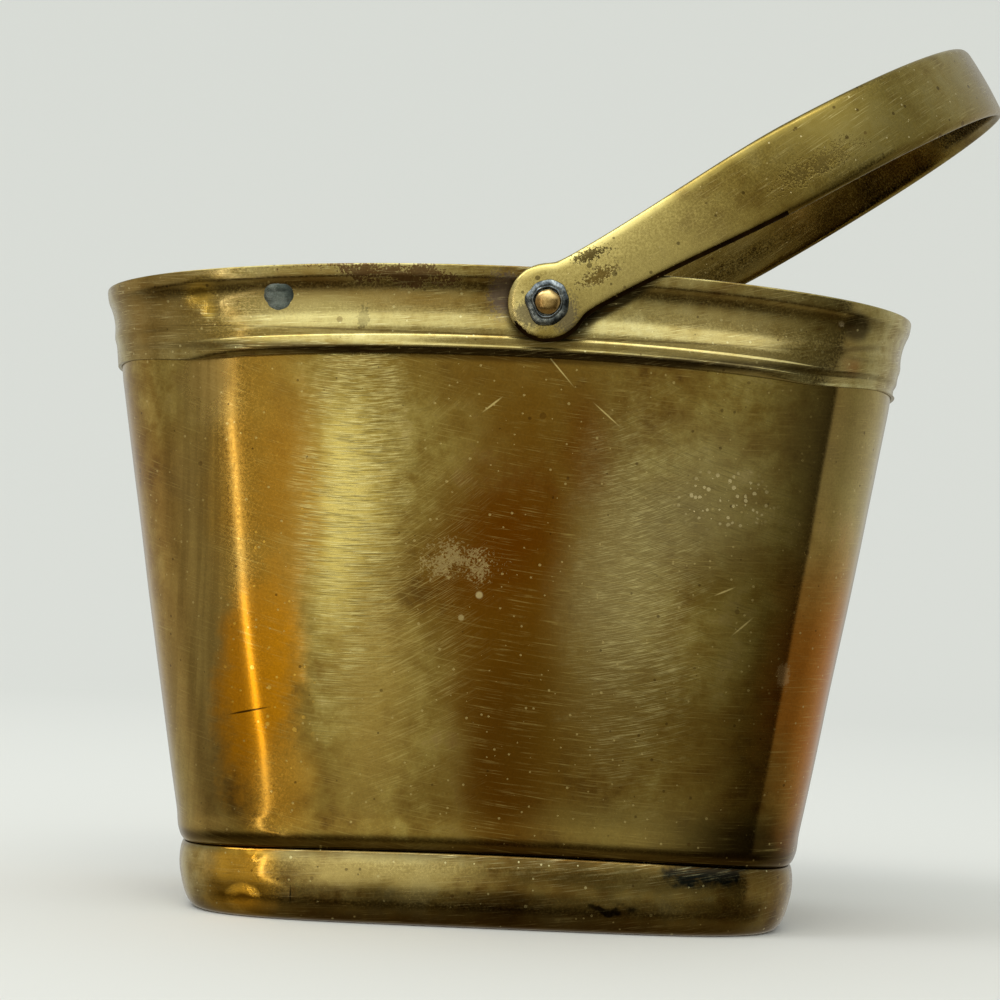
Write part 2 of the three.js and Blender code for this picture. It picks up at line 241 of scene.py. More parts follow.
def finishedMesh(name, mesh, finish):
    # a new object with faces outwards, nothing doubled, shaded smooth
    shell = bmesh.new()
    shell.from_mesh(mesh)
    bmesh.ops.remove_doubles(shell, verts=shell.verts, dist=1e-7)
    bmesh.ops.recalc_face_normals(shell, faces=shell.faces)
    for face in shell.faces:
        face.smooth = True
    shell.to_mesh(mesh)
    shell.free()
    mesh.materials.clear()
    mesh.materials.append(finish)
    piece = bpy.data.objects.new(name, mesh)
    bpy.context.collection.objects.link(piece)
    return piece


def meshOf(name, points, faces):
    mesh = bpy.data.meshes.new(name)
    mesh.from_pydata(points, [], faces)
    return mesh


def ringFaces(rings, steps):
    # quads between neighbouring closed rings of points
    return [(ring * steps + i, ring * steps + (i + 1) % steps, (ring + 1) * steps + (i + 1) % steps,
             (ring + 1) * steps + i) for ring in range(rings - 1) for i in range(steps)]


def carryRound(name, profile, finish, columns=420, bulge=0.0, seed=1.0):
    # profile of (offset, height) or (offset, height, share) in millimetres
    points = [(p[0] * mm, p[2] if len(p) > 2 else 1.0, p[1] * mm) for p in profile]
    guide = bpy.data.objects.new("profileGuide", meshOf("profileGuide", points, []))
    host = bpy.data.objects.new("profileHost", bpy.data.meshes.new("profileHost"))
    for thing in (guide, host):
        bpy.context.collection.objects.link(thing)
    modifier = host.modifiers.new("carried", "NODES")
    modifier.node_group = carriedTree
    inputs = {
        "profile": guide, "columns": columns, "rows": len(points), "finish": finish,
        "rimHalfLength": rimHalfLength * mm, "rimHalfDepth": rimHalfDepth * mm,
        "baseHalfLength": plan["baseLength"] / 2 * mm, "baseHalfDepth": plan["baseDepth"] / 2 * mm,
        "rimHeight": plan["rimHeight"] * mm, "rimDip": plan["rimDip"] * mm, "mouldingFoot": mouldingFoot * mm,
        "bulge": bulge * mm, "bulgeScale": 1 / (plan["bulgeSize"] * mm), "bulgeSeed": seed,
    }
    for socket in carriedTree.interface.items_tree:
        if socket.in_out == "INPUT":
            value = inputs.get(socket.name, plan.get(socket.name))
            modifier[socket.identifier] = float(value) if socket.socket_type == "NodeSocketFloat" else value
    ready = host.evaluated_get(bpy.context.evaluated_depsgraph_get())
    mesh = bpy.data.meshes.new_from_object(ready)
    mesh.name = name
    host.modifiers.remove(modifier)
    for thing in (host, guide):
        bpy.data.objects.remove(thing)
    return finishedMesh(name, mesh, finish)


# materials

def stainOrLightPatch(at, size, colour, strength, soft=0.6, **more):
    # a soft-edged ellipsoid in millimetres, with any of ragged, fine, roughness, rise and turn; it lays real
    # stains and also painted highlights, glints and shade
    return dict(more, at=at, size=size, colour=colour, strength=strength, soft=soft)


def brushing(centre, middle, length, width, span, strength, colour, relief, within=None):
    # fine lines along circles round a far centre (x, z), sized in millimetres at the middle radius
    return dict(centre=centre, middle=middle, length=length, width=width, span=span, strength=strength,
                colour=colour, relief=relief, within=within)


def patchMask(tree, point, mottle, grain, patch):
    # the mottle and the grain break up the edge of a patch, stain or painted light alike
    ragged, fine, soft = patch.get("ragged", 0.5), patch.get("fine", 0), patch["soft"]
    shifted = addNode(tree, "ShaderNodeVectorMath", [point, patch["at"]], operation="SUBTRACT")
    if "turn" in patch:  # degrees up to the right, in the plane of a long side
        tilt = (0, -math.radians(patch["turn"]), 0)
        shifted = addNode(tree, "ShaderNodeMapping", {"Vector": shifted, "Rotation": tilt},
                          vector_type="TEXTURE")
    scaled = addNode(tree, "ShaderNodeVectorMath", [shifted, patch["size"]], operation="DIVIDE")
    far = addNode(tree, "ShaderNodeVectorMath", [scaled], operation="LENGTH").outputs["Value"]
    edge = addNode(tree, "ShaderNodeMath", [mottle, ragged, far], operation="MULTIPLY_ADD")
    if fine:
        edge = addNode(tree, "ShaderNodeMath", [grain, fine, edge], operation="MULTIPLY_ADD")
    middle = 1 + (ragged + fine) * 0.5
    return addNode(tree, "ShaderNodeMapRange",
                   {"Value": edge, "From Min": middle + soft, "From Max": middle - soft,
                    "To Min": 0.0, "To Max": patch["strength"]}, interpolation_type="SMOOTHSTEP").outputs[0]


def brushedLines(tree, point, arc):
    shifted = addNode(tree, "ShaderNodeVectorMath", [point, (arc["centre"][0], 0, arc["centre"][1])],
                      operation="SUBTRACT")
    axes = addNode(tree, "ShaderNodeSeparateXYZ", [shifted]).outputs
    flat = addNode(tree, "ShaderNodeCombineXYZ", [axes["X"], 0.0, axes["Z"]])
    radius = addNode(tree, "ShaderNodeVectorMath", [flat], operation="LENGTH").outputs["Value"]
    down = addNode(tree, "ShaderNodeMath", [axes["Z"], -1.0], operation="MULTIPLY")
    angle = addNode(tree, "ShaderNodeMath", [axes["X"], down], operation="ARCTAN2")
    along = addNode(tree, "ShaderNodeMath", [angle, arc["middle"] / arc["length"]], operation="MULTIPLY")
    across = addNode(tree, "ShaderNodeMath", [radius, arc["width"]], operation="DIVIDE")
    deep = addNode(tree, "ShaderNodeMath", [axes["Y"], arc["length"]], operation="DIVIDE")
    laid = addNode(tree, "ShaderNodeCombineXYZ", [along, across, deep])
    line = addNode(tree, "ShaderNodeTexNoise", {"Vector": laid, "Scale": 1.0, "Detail": 2.0, "Roughness": 0.55})
    return addNode(tree, "ShaderNodeMapRange",
                   {"Value": line, "From Min": arc["span"][0], "From Max": arc["span"][1],
                    "To Min": 0.0, "To Max": arc["strength"]}).outputs[0]


def oldBrass(name, look):
    material = bpy.data.materials.new(name)
    material.use_nodes = True
    tree = material.node_tree
    tree.nodes.clear()
    place = addNode(tree, "ShaderNodeTexCoord").outputs["Object"]
    point = addNode(tree, "ShaderNodeVectorMath", {0: place, "Scale": 1 / mm}, operation="SCALE")
    cloud, mottle, grain = [
        addNode(tree, "ShaderNodeTexNoise",
                {"Vector": point, "Scale": 1 / look[size], "Detail": detail, "Roughness": roughness})
        for size, detail, roughness in (
            ("cloudSize", 4.0, 0.62), ("mottleSize", 6.0, 0.68), ("grainSize", 3.0, 0.65))]
    blend = addNode(tree, "ShaderNodeMath", [mottle, look["blotch"], cloud], operation="MULTIPLY_ADD")
    colour = addNode(tree, "ShaderNodeValToRGB", [blend], [(at, hexColour(tone)) for at, tone in look["tones"]])
    drift = addNode(tree, "ShaderNodeVectorMath", [cloud.outputs["Color"], (-0.5, -0.5, -0.5)], operation="ADD")
    wandered = addNode(tree, "ShaderNodeVectorMath", [drift, (look["wander"],) * 3, point],
                       operation="MULTIPLY_ADD")
    # smooth metal between finely scuffed specks
    rough = addNode(tree, "ShaderNodeMapRange",
                    {"Value": grain, "From Min": 0.4, "From Max": 0.62,
                     "To Min": look["roughness"][0], "To Max": look["roughness"][1]})
    height = addNode(tree, "ShaderNodeMath", [grain, look["grainRelief"]], operation="MULTIPLY")

    def layOver(mask, tone, rise, roughness=None):
        nonlocal colour, rough, height
        colour = addNode(tree, "ShaderNodeMix", {0: mask, 6: colour, 7: hexColour(tone)},
                         data_type="RGBA").outputs[2]
        if roughness is not None:
            rough = addNode(tree, "ShaderNodeMix", {0: mask, 2: rough, 3: roughness},
                            data_type="FLOAT").outputs[0]
        if rise:
            height = addNode(tree, "ShaderNodeMath", [mask, rise, height], operation="MULTIPLY_ADD")

    for patch in look["patches"]:
        mask = patchMask(tree, point if "turn" in patch else wandered, mottle, grain, patch)
        layOver(mask, patch["colour"], patch.get("rise", 0), patch.get("roughness"))
    speckle = addNode(tree, "ShaderNodeMapRange",
                      {"Value": grain, "From Min": 0.3, "From Max": 0.7,
                       "To Min": 1 - look["speckle"], "To Max": 1 + look["speckle"]})
    colour = addNode(tree, "ShaderNodeMix", {0: 1.0, 6: colour, 7: speckle},
                     data_type="RGBA", blend_type="MULTIPLY").outputs[2]
    broken = addNode(tree, "ShaderNodeMapRange", {"Value": mottle, "From Min": 0.38, "From Max": 0.62})
    for arc in look["arcs"]:
        where = patchMask(tree, point, mottle, grain, arc["within"]) if arc["within"] else broken
        mask = addNode(tree, "ShaderNodeMath", [brushedLines(tree, point, arc), where], operation="MULTIPLY")
        layOver(mask, arc["colour"], arc["relief"])
    for size, spacing, seed, tone, strength, *within in look["specks"]:
        moved = addNode(tree, "ShaderNodeVectorMath", [point, (seed * 17,) * 3], operation="ADD")
        cells = addNode(tree, "ShaderNodeTexVoronoi", {"Vector": moved, "Scale": 1 / spacing})
        chosen = addNode(tree, "ShaderNodeSeparateColor", [cells.outputs["Color"]]).outputs[0]
        reach = addNode(tree, "ShaderNodeMapRange",  # half of the cells hold a speck
                        {"Value": chosen, "From Min": 0.5, "From Max": 1.0,
                         "To Min": 0.0, "To Max": size / spacing})
        inside = addNode(tree, "ShaderNodeMath", [cells.outputs["Distance"], reach], operation="LESS_THAN")
        mask = addNode(tree, "ShaderNodeMath", [inside, strength], operation="MULTIPLY")
        for patch in within:
            local = patchMask(tree, point, mottle, grain, patch)
            mask = addNode(tree, "ShaderNodeMath", [mask, local], operation="MULTIPLY")
        layOver(mask, tone, look["speckRise"])
    bump = addNode(tree, "ShaderNodeBump",
                   {"Height": height, "Strength": 1.0, "Distance": look["relief"] * mm})
    shader = addNode(tree, "ShaderNodeBsdfPrincipled",
                     {"Base Color": colour, "Metallic": 1.0, "Roughness": rough, "Normal": bump})
    addNode(tree, "ShaderNodeOutputMaterial", [shader])
    return material


# spun and hand-rubbed sheet brass: olive where rubbed, orange-brown where heated and handled, with painted
# highlights, glow and shade among its patches
wallLook = {
    "cloudSize": 30, "mottleSize": 4.0, "grainSize": 0.4, "wander": 12, "blotch": 0.6,
    "roughness": (0.08, 0.18), "speckle": 0.12, "speckRise": -0.6, "grainRelief": 0.16, "relief": 0.012,
    "tones": [(0.58, "#bcab72"), (0.7, "#a69656"), (0.8, "#8f7a3e"), (0.92, "#7d642e"), (1.04, "#654c22")],
    "patches": [
        # painted highlights of the bright bands, a painted warm glow by the doorway's reflection, and heated or
        # handled brown, on the near side
        # painted highlight: the broad bright band on the left of the near side, with a brighter core
        stainOrLightPatch((-28, -41, 72), (6, 30, 18), "#e4d074", 0.85, 0.9),
        stainOrLightPatch((-27.9, -41, 72), (3.0, 30, 16), "#fff09a", 0.8, 0.8, ragged=1.4),
        stainOrLightPatch((19, -40, 58), (4, 30, 34), "#6c4a14", 0.55, 0.8),
        stainOrLightPatch((41, -39, 60), (7, 30, 10), "#6c5a24", 0.55, 0.8),
        stainOrLightPatch((-53.5, -39, 96), (5, 30, 9), "#9a8450", 0.85, 0.6, ragged=1.2, roughness=0.36),
        stainOrLightPatch((-22, -41, 98), (16, 30, 7), "#8c7436", 0.6, 0.9),
        # painted highlight: the lower end of the same bright band
        stainOrLightPatch((-21, -39, 44), (6, 30, 24), "#c4ac62", 0.6, 0.9),
        stainOrLightPatch((-52, -38, 56), (7, 30, 60), "#a8925a", 0.7, 0.7),
        # painted warm glow round the doorway's reflection on the left corner, kept glossy
        stainOrLightPatch((-41, -38, 42), (6.5, 30, 20), "#cc8e14", 0.95, 0.45, ragged=1.2, roughness=0.09),
        stainOrLightPatch((-43, -38, 80), (6, 30, 26), "#b8903c", 0.7, 0.7),
        stainOrLightPatch((-36, -38, 74), (5, 30, 16), "#b4842c", 0.6, 0.6),
        stainOrLightPatch((-36, -38, 22), (5, 30, 8), "#c99a3c", 0.7, 0.7),
        stainOrLightPatch((3, -41, 60), (12, 30, 48), "#74500f", 0.9, 0.8, ragged=1.4),
        stainOrLightPatch((2, -42, 70), (9, 30, 12), "#683a00", 0.9, 0.9, ragged=0.9),
        stainOrLightPatch((3, -38, 32), (9, 30, 18), "#5c3804", 0.9, 0.7),
        stainOrLightPatch((15, -40, 84), (4, 30, 8), "#6e4206", 0.7, 0.6),
        # painted reflection: lighter streaks of the fainter second band
        stainOrLightPatch((22, -40, 60), (8, 30, 22), "#aca072", 0.6, 0.8),
        stainOrLightPatch((35, -38, 76), (10, 30, 11), "#a39a70", 0.6, 0.9),
        stainOrLightPatch((28, -36, 36), (22, 30, 12), "#6c541e", 0.6, 0.8),
        stainOrLightPatch((27, -36, 18), (14, 30, 5), "#9c8c52", 0.6, 0.8, turn=0),
        stainOrLightPatch((48, -36, 16), (14, 30, 5), "#20180c", 0.8, 0.7, turn=0),
        # crusts, dots and scratches
        stainOrLightPatch((-5.6, -41, 66.3), (4.2, 30, 1.9), "#cbbb8c", 0.5, 0.2, ragged=6, fine=6, roughness=0.3),
        stainOrLightPatch((-3, -40, 58.6), (0.6, 8, 0.6), "#d8cba0", 0.7, 0.3, turn=0),
        stainOrLightPatch((-6, -40, 54.5), (0.5, 8, 0.5), "#cdbf92", 0.6, 0.3, turn=0),
        stainOrLightPatch((9, -42, 99), (3.6, 8, 0.12), "#f2e2a4", 0.7, 0.5, turn=-48),
        stainOrLightPatch((18, -42, 91), (2.4, 8, 0.12), "#f2e2a4", 0.7, 0.5, turn=-40),
        stainOrLightPatch((-2, -42, 92), (1.8, 8, 0.16), "#f2e2a4", 0.7, 0.5, turn=40),
        stainOrLightPatch((40, -40, 61), (1.6, 8, 0.14), "#e8d89c", 0.8, 0.5, turn=24),
        stainOrLightPatch((43.5, -40, 55), (2.0, 8, 0.14), "#e8d89c", 0.8, 0.5, turn=42),
        stainOrLightPatch((-43, -38, 36.5), (3.4, 8, 0.18), "#2a1a08", 0.9, 0.4, turn=13),
        stainOrLightPatch((52.4, -35, 46.8), (1.1, 30, 2.8), "#eadeb4", 0.8, 0.2, ragged=2, fine=2, roughness=0.3),
        # the ends and the far side
        stainOrLightPatch((62, -22, 84), (14, 26, 24), "#a89a68", 0.7, 0.6, roughness=0.07),
        stainOrLightPatch((58, -22, 44), (9, 26, 24), "#ac6c24", 0.85, 0.6, roughness=0.07),
        stainOrLightPatch((-66, 0, 62), (12, 30, 40), "#b98848", 0.6, 0.7),
        stainOrLightPatch((-8, 44, 66), (26, 30, 34), "#a0670d", 0.7, 0.7),
        stainOrLightPatch((34, 40, 40), (14, 30, 30), "#cdb870", 0.6, 0.8),
        # darker along the pan joint, and painted shade under the moulding's lip
        stainOrLightPatch((0, 0, 13.6), (300, 300, 0.8), "#463414", 0.7, 0.9, ragged=0.6, turn=0),
        stainOrLightPatch((0, 0, 100.2), (300, 300, 0.7), "#2c1c0c", 0.6, 0.7, ragged=0.6, turn=0),
    ],
    "arcs": [
        # The first four lie in the highlight bands: their bright lines are painted highlight glints over real
        # brushing relief, and the second one's darker lines fill the gaps between them. The rest are plain
        # brushing marks.
        brushing((-27, 150), 70, 3.6, 0.13, (0.5, 0.6), 1.0, "#fff6b4", 0.5,
                 stainOrLightPatch((-26, -40, 76), (7, 30, 28), None, 0.95, 0.8, ragged=2.0)),
        brushing((-27, 150), 70, 4.4, 0.17, (0.52, 0.64), 0.8, "#4c3a10", -0.3,
                 stainOrLightPatch((-25, -40, 74), (9, 30, 32), None, 0.7, 0.8, ragged=2.0)),
        brushing((-70, 150), 110, 4.6, 0.17, (0.53, 0.64), 0.8, "#f0e09c", 0.3,
                 stainOrLightPatch((-15, -40, 54), (8, 30, 28), None, 0.36, 0.9, ragged=3.4)),
        brushing((6, 130), 72, 3.4, 0.14, (0.5, 0.62), 0.9, "#eee4ac", 0.4,
                 stainOrLightPatch((25, -40, 60), (8, 30, 24), None, 0.6, 0.9, ragged=2.6)),
        brushing((90, 240), 170, 5, 0.18, (0.53, 0.66), 0.8, "#4a3c18", -0.2,
                 stainOrLightPatch((34, -40, 66), (18, 30, 36), None, 0.4, 0.9, ragged=2.6)),
        brushing((-1000, 60), 950, 34, 1.5, (0.46, 0.6), 0.9, "#5c4620", 0,
                 stainOrLightPatch((-54, -38, 62), (6, 30, 50), None, 0.3, 0.8, ragged=2.4)),
        brushing((40, 360), 280, 6, 0.2, (0.56, 0.7), 0.3, "#dccb84", 0.12),
    ],
    "specks": [  # size, spacing, seed, colour and strength
        (0.3, 2.4, 1.0, "#38220a", 0.5),
        (0.26, 1.3, 4.0, "#d8c890", 0.45),
        (0.6, 6.0, 7.0, "#4c3010", 0.4),
        (0.4, 0.74, 9.0, "#e6dab0", 0.75, stainOrLightPatch((39.5, -40, 77), (8.4, 30, 4.8), None, 1, 0.3)),
        (0.44, 1.6, 12.0, "#e8c05c", 0.7, stainOrLightPatch((-40, -38, 50), (8, 30, 30), None, 1, 0.4)),
    ],
}

# drawn brass strip: a rubbed bright bead under a hollow that polish never reached, with a painted highlight in the
# hollow, painted glints, and painted shade along its foot, round the bail's eye and on the right of its lip
mouldingLook = dict(wallLook, **{
    "cloudSize": 26, "mottleSize": 3.0, "roughness": (0.1, 0.26),
    "tones": [(0.6, "#c0b888"), (0.74, "#aea26e"), (0.88, "#8f7e4a"), (1.02, "#735c32")],
    "patches": [
        stainOrLightPatch((-24, -46, 111.3), (22, 8, 2.4), "#9a7c40", 0.65, 0.7, ragged=1.2),
        stainOrLightPatch((-38, -46, 110.4), (8, 8, 3), "#70501c", 0.6, 0.7),
        stainOrLightPatch((44, -44, 106), (16, 8, 5.0), "#b4a066", 0.6, 0.9),
        stainOrLightPatch((-62, -40, 108), (12, 20, 9), "#8c7440", 0.7, 0.6),
        stainOrLightPatch((-26, -45, 107.6), (1.0, 6, 2.0), "#241808", 0.8, 0.2, fine=2.0),
        stainOrLightPatch((0.6, -46, 112), (3.2, 6, 4.4), "#6c6060", 0.8, 0.3, ragged=1.6, fine=2.0, roughness=0.35),
        # painted shadow and dark reflection behind the eye and under the strap
        stainOrLightPatch((7.4, -46, 108.6), (7.9, 8, 7.9), "#140e06", 0.92, 0.14, ragged=0.15, roughness=0.4, turn=0),
        stainOrLightPatch((18.6, -46, 110.3), (8.6, 8, 1.3), "#1c140a", 0.9, 0.4, ragged=0.3, roughness=0.4, turn=32),
        stainOrLightPatch((-22, -46, 115.2), (13, 6, 1.3), "#5c3c24", 0.85, 0.2, ragged=3.0, fine=4.0, roughness=0.35),
        # painted shade: the right part of the lip darker, where its highlight narrows
        stainOrLightPatch((10, -45, 102.4), (24, 6, 1.3), "#94824c", 0.6, 0.8, ragged=0.6, turn=0),
        stainOrLightPatch((-46, -45, 103), (12, 6, 3.0), "#9a884e", 0.6, 0.8, turn=0),
        # painted highlight on the left of the hollow
        stainOrLightPatch((-34, -45, 107), (12, 6, 3.0), "#d2c88e", 0.6, 0.9, turn=0),
        stainOrLightPatch((-10, -45, 106), (26, 8, 1.8), "#9a8a54", 0.4, 0.8, turn=0),
        # painted glints, over small dents in the bump
        stainOrLightPatch((-54.3, -41.8, 109.5), (2.4, 6, 2.2), "#e8c860", 0.6, 0.7, roughness=0.06, rise=-30, turn=0),
        stainOrLightPatch((-52.5, -41.8, 106.6), (1.2, 6, 1.2), "#e8c860", 0.6, 0.7, roughness=0.06, rise=-14, turn=0),
        stainOrLightPatch((61.8, -39, 108.7), (2.4, 8, 2.4), "#3c3222", 0.8, 0.4, turn=0),
        # painted highlight: a small bright dot on the dark spot
        stainOrLightPatch((58.8, -39, 109), (0.5, 8, 0.5), "#f4ecd8", 0.8, 0.4, turn=0),
        stainOrLightPatch((62.4, -39, 105), (0.5, 8, 4.6), "#4c3420", 0.5, 0.9, turn=-80),
        stainOrLightPatch((60.4, -38, 103), (1.8, 8, 1.6), "#9c6234", 0.5, 0.9),
        stainOrLightPatch((-2, -45, 103.9), (50, 300, 0.2), "#54401c", 0.6, 0.6, ragged=0.8, turn=0),
        # painted shade under the lip, along the strip's foot
        stainOrLightPatch((0, -45, 100.4), (54, 300, 1.2), "#2c1d0c", 0.9, 0.4, ragged=0.4, turn=0),
    ],
    "arcs": [
        brushing((-60, 560), 450, 5, 0.17, (0.56, 0.68), 0.5, "#f0e8b4", 0.2),
        brushing((-60, 560), 450, 5, 0.22, (0.56, 0.68), 0.35, "#6a4c1c", -0.2),
    ],
    "specks": [(0.3, 2.4, 1.0, "#38220a", 0.5), (0.26, 1.3, 4.0, "#e8e0b0", 0.4), (0.6, 6.0, 7.0, "#4c3010", 0.4)],
})

# pressed brass: a painted highlight along its band, painted glints and reflection at its left, and darker towards
# the bottom and along the joint with the wall
panLook = dict(mouldingLook, **{
    "cloudSize": 20, "mottleSize": 3.4,
    "tones": [(0.6, "#b4a570"), (0.74, "#9c884e"), (0.88, "#7c6432"), (1.02, "#604a20")],
    "patches": [
        stainOrLightPatch((0, 0, 2), (42, 26, 9), "#33291a", 0.9, 0.3, ragged=0.8, roughness=0.5),
        stainOrLightPatch((2, -38, 1.4), (44, 14, 3.8), "#2c1e0c", 0.75, 0.8, ragged=1.2),
        # painted highlight along the band's shoulder
        stainOrLightPatch((-20, -38, 9), (15, 14, 2.6), "#d0c084", 0.7, 0.8, ragged=1.2),
        # painted reflection of the doorway down the band's left
        stainOrLightPatch((-44, -36, 7), (6, 14, 9), "#dcac3c", 0.8, 0.6, ragged=1.0, roughness=0.08),
        stainOrLightPatch((28, -36, 9.6), (24, 10, 2.6), "#42381c", 0.75, 0.7, ragged=1.6),
        stainOrLightPatch((40, -36, 11), (8, 10, 2.4), "#10181a", 0.95, 0.3, ragged=2.2),
        stainOrLightPatch((22, -36, 4.6), (4.0, 14, 0.7), "#140e06", 0.9, 0.4, ragged=2.2),
        # painted glints over small dents in the bump, and a painted orange glint at the joint
        stainOrLightPatch((-42.5, -37, 3.4), (2.4, 14, 1.8), "#f0b83c", 0.7, 0.6, roughness=0.06, rise=24, turn=0),
        stainOrLightPatch((-41.5, -37, 11.6), (1.6, 14, 1.2), "#f0b83c", 0.7, 0.6, roughness=0.06, rise=16, turn=0),
        stainOrLightPatch((-42, -37, 12.8), (5.4, 14, 1.0), "#e8a02c", 0.9, 0.6, turn=0),
        stainOrLightPatch((-34, -38, 4.6), (0.14, 14, 1.4), "#1a1208", 0.9, 0.4, turn=0),
        stainOrLightPatch((0, 0, 13.2), (300, 300, 1.6), "#2c200e", 0.85, 0.8, ragged=0.5, turn=0),
        stainOrLightPatch((0, 0, -1.0), (300, 300, 2.6), "#4a3517", 0.7, 0.6, ragged=0.6, turn=0),
    ],
    "arcs": [dict(mouldingLook["arcs"][0], strength=0.25), mouldingLook["arcs"][1]],
})

# hand-filed brass strap: rubbed smooth by the hand, with small pits
bailLook = dict(wallLook, **{
    "cloudSize": 24, "mottleSize": 3.4, "roughness": (0.16, 0.32),
    "tones": [(0.6, "#aea068"), (0.74, "#988648"), (0.88, "#7c6832"), (1.02, "#604a22")],
    "patches": [
        stainOrLightPatch((20, -48, 117), (17, 6, 12), "#cabc7c", 0.8, 0.9),
        stainOrLightPatch((56, -44, 142), (26, 20, 14), "#6e6030", 0.8, 0.8, ragged=1.0),
        stainOrLightPatch((92, -20, 158), (20, 30, 14), "#83734a", 0.7, 0.7),
        stainOrLightPatch((50, 47, 132), (60, 12, 40), "#5a4a24", 0.8, 0.6),
        # painted highlight on the left of the eye
        stainOrLightPatch((2.0, -49, 106.4), (2.0, 6, 5.0), "#f4e8a8", 0.8, 0.8),
        stainOrLightPatch((9.6, -49, 108.2), (2.6, 6, 3.4), "#6c655c", 0.7, 0.3, ragged=1.0, fine=2, roughness=0.3),
        stainOrLightPatch((4.2, -49, 107.4), (2.8, 6, 2.4), "#5c5650", 0.7, 0.3, ragged=1.0, fine=2, roughness=0.3),
        stainOrLightPatch((14.2, -49, 118.3), (2.4, 6, 0.9), "#3c2c10", 0.85, 0.2, ragged=2, fine=5, rise=-6, turn=22),
        stainOrLightPatch((15.4, -49, 114.6), (2.8, 6, 1.0), "#6a5426", 0.8, 0.2, ragged=2, fine=5, rise=-6, turn=26),
        stainOrLightPatch((52, -48, 135), (6, 16, 1.6), "#5e4c26", 0.4, 0.3, ragged=3, fine=6, rise=-4, turn=30),
    ],
    "arcs": [
        brushing((-260, 560), 540, 6, 0.2, (0.56, 0.7), 0.35, "#e0d298", 0.2),
    ],
    "specks": [(0.5, 2.2, 1.0, "#2f1f0c", 0.6), (0.8, 5.0, 7.0, "#4a3216", 0.5), (0.2, 1.4, 4.0, "#ecdcae", 0.4)],
})

# the inside was never rubbed: dull brass, sooty low down
insideLook = dict(wallLook, **{
    "roughness": (0.26, 0.44), "arcs": [],
    "tones": [(0.58, "#a29260"), (0.7, "#8a7646"), (0.82, "#6e5a34"), (1.0, "#4e3e26")],
    "patches": [
        stainOrLightPatch((0, 0, 6), (70, 50, 34), "#33291a", 0.85, 0.7, ragged=1.2, roughness=0.5),
        stainOrLightPatch((40, 20, 70), (26, 34, 40), "#5a4628", 0.7, 0.7, ragged=1.4),
        stainOrLightPatch((-50, 10, 60), (26, 34, 30), "#6b4a1c", 0.7, 0.7, ragged=1.4),
        stainOrLightPatch((0, 0, 116), (300, 300, 4), "#b0a06a", 0.7, 0.6, turn=0),
    ],
    "specks": [(0.7, 3.0, 1.0, "#241a0c", 0.6), (1.4, 8.0, 7.0, "#3c2e18", 0.5)],
})
plainLook = dict(bailLook, patches=[], arcs=[])
wallBrass = oldBrass("spunSheetBrassOld", wallLook)
insideBrass = oldBrass("sootedSheetBrass", insideLook)
mouldingBrass = oldBrass("drawnBrassRubbedWithPaintedLight", mouldingLook)
panBrass = oldBrass("pressedBrassStainedWithPaintedLight", panLook)
bailBrass = oldBrass("filedBrassStrap", bailLook)
# near-black brass that paints the shade along the strap's lower edge
shadeEdgeBrass = oldBrass("strapEdgePaintedShade", dict(plainLook, **{
    "roughness": (0.3, 0.44),
    "tones": [(0.6, "#4a3818"), (0.74, "#33240e"), (0.88, "#241808"), (1.02, "#1a1006")]}))
dullBrass = oldBrass("dullBrassRing", dict(panLook, patches=[], roughness=(0.3, 0.42)))
# hammered rod: warmer than the brass, bright on its dome
copper = oldBrass("hammeredCopperRivet", dict(plainLook, **{
    "tones": [(0.6, "#c8ae78"), (0.78, "#a08252"), (0.92, "#785c34"), (1.04, "#584022")],
    "specks": [(0.16, 1.0, 1.0, "#3a2010", 0.6)], "relief": 0.03}))
# soft solder: blue-grey, smeared round the washers, and smooth where it settled as a drop
solder = oldBrass("smearedSoftSolder", dict(plainLook, **{
    "cloudSize": 2.4, "mottleSize": 1.2, "roughness": (0.14, 0.34),
    "tones": [(0.6, "#9ca4ac"), (0.74, "#6c747c"), (0.86, "#4c535a"), (1.02, "#2e3236")],
    "specks": [(0.2, 1.0, 1.0, "#16181c", 0.6)], "relief": 0.06}))
smoothSolder = oldBrass("settledSoftSolder", dict(plainLook, **{
    "cloudSize": 6, "mottleSize": 3, "roughness": (0.24, 0.36), "specks": [], "relief": 0.03,
    "tones": [(0.6, "#7c888e"), (0.76, "#5c686c"), (0.9, "#465054"), (1.02, "#363c40")]}))
print("materials made")

# body wall

wall = {
    "sheet": 1.0, "edge": 0.4, "bulge": 0.5, "seed": 3.0, "columns": 420,
}
wallFoot = [(-0.9, 13.15), (-0.5, 13.35), (-0.14, 13.9), (0.08, 14.7), (0.2, 15.8), (0.18, 16.8),
            (0.1, 17.8), (0.03, 18.7), (0, 20)]
outerLine = curvedProfile(wallFoot) + softProfile(
    [wallFoot[-1] + (0,), (0, plan["rimHeight"], wall["edge"]),
     (-wall["sheet"], plan["rimHeight"], wall["edge"])], closed=False)[1:]
innerLine = [(offset - wall["sheet"], height) for offset, height in reversed(curvedProfile(wallFoot, 2))]
bodyWall = carryRound("body_wall_sheet", outerLine + innerLine + [outerLine[0]], wallBrass,
                      columns=wall["columns"], bulge=wall["bulge"], seed=wall["seed"])
# the inside was never rubbed bright
bodyWall.data.materials.append(insideBrass)
wallLay = bodyWall.data.attributes["lay"].data
for face in bodyWall.data.polygons:
    if all(wallLay[i].vector[0] < -wall["sheet"] / 2 * mm for i in face.vertices):
        face.material_index = 1

# rim moulding

